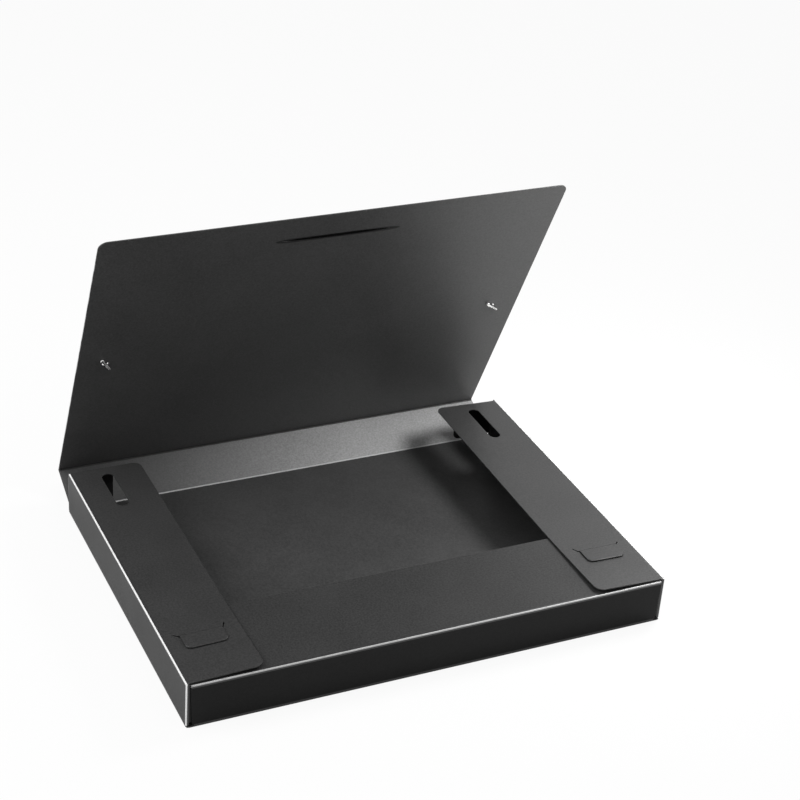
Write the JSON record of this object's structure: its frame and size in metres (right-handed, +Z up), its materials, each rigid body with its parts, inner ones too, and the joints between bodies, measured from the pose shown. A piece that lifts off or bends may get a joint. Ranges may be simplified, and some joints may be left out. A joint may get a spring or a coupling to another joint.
{
  "type": "document box",
  "caption": "Flat folded plastic document box for A4 sheets: a creased tray with lock flaps, and a lid held shut by an elastic cord.",
  "frame": {"origin": "middle of the base's underside, on the surface that the box stands on", "axes": "+X along the front edge to the right, +Y from the front wall to the spine, +Z up"},
  "size_m": [0.3308, 0.2821, 0.2399],
  "materials": {
    "sheet": "fine grain, satin black polypropylene",
    "elastic": "woven black elastic cord",
    "metal": "bright zinc plated tag"
  },
  "bodies": {
    "tray": {"base_panel": "sheet", "front_wall": "sheet", "front_flap": "sheet", "left_lock_tongue": "sheet", "right_lock_tongue": "sheet"},
    "spine": {"spine_panel": "sheet"},
    "lid": {"lid_panel": "sheet", "elastic_cord": "elastic", "left_cord_tag": "metal", "right_cord_tag": "metal"},
    "left_side": {"left_wall": "sheet", "left_front_tab": "sheet", "left_rear_tab": "sheet"},
    "left_flap": {"left_side_flap": "sheet"},
    "right_side": {"right_wall": "sheet", "right_front_tab": "sheet", "right_rear_tab": "sheet"},
    "right_flap": {"right_side_flap": "sheet"}
  },
  "joints": [
    {"name": "spine_hinge", "type": "hinge", "parent": "tray", "child": "spine", "pos_m": [0, 0.125, 0.0004], "axis": [-1, 0, 0], "range_deg": [-65, 25]},
    {"name": "lid_hinge", "type": "hinge", "parent": "spine", "child": "lid", "pos_m": [0, 0.15627, 0.01498], "axis": [-1, 0, 0], "range_deg": [0, 88.7]},
    {"name": "left_wall_hinge", "type": "hinge", "parent": "tray", "child": "left_side", "pos_m": [-0.165, 0, 0.0004], "axis": [0, -1, 0], "range_deg": [0, 90]},
    {"name": "left_flap_hinge", "type": "hinge", "parent": "left_side", "child": "left_flap", "pos_m": [-0.165, 0, 0.0319], "axis": [0, -1, 0], "range_deg": [0, 90], "deforming": ["left_lock_tongue"]},
    {"name": "right_wall_hinge", "type": "hinge", "parent": "tray", "child": "right_side", "pos_m": [0.165, 0, 0.0004], "axis": [0, 1, 0], "range_deg": [0, 90]},
    {"name": "right_flap_hinge", "type": "hinge", "parent": "right_side", "child": "right_flap", "pos_m": [0.165, 0, 0.0319], "axis": [0, 1, 0], "range_deg": [0, 90], "deforming": ["right_lock_tongue"]}
  ]
}
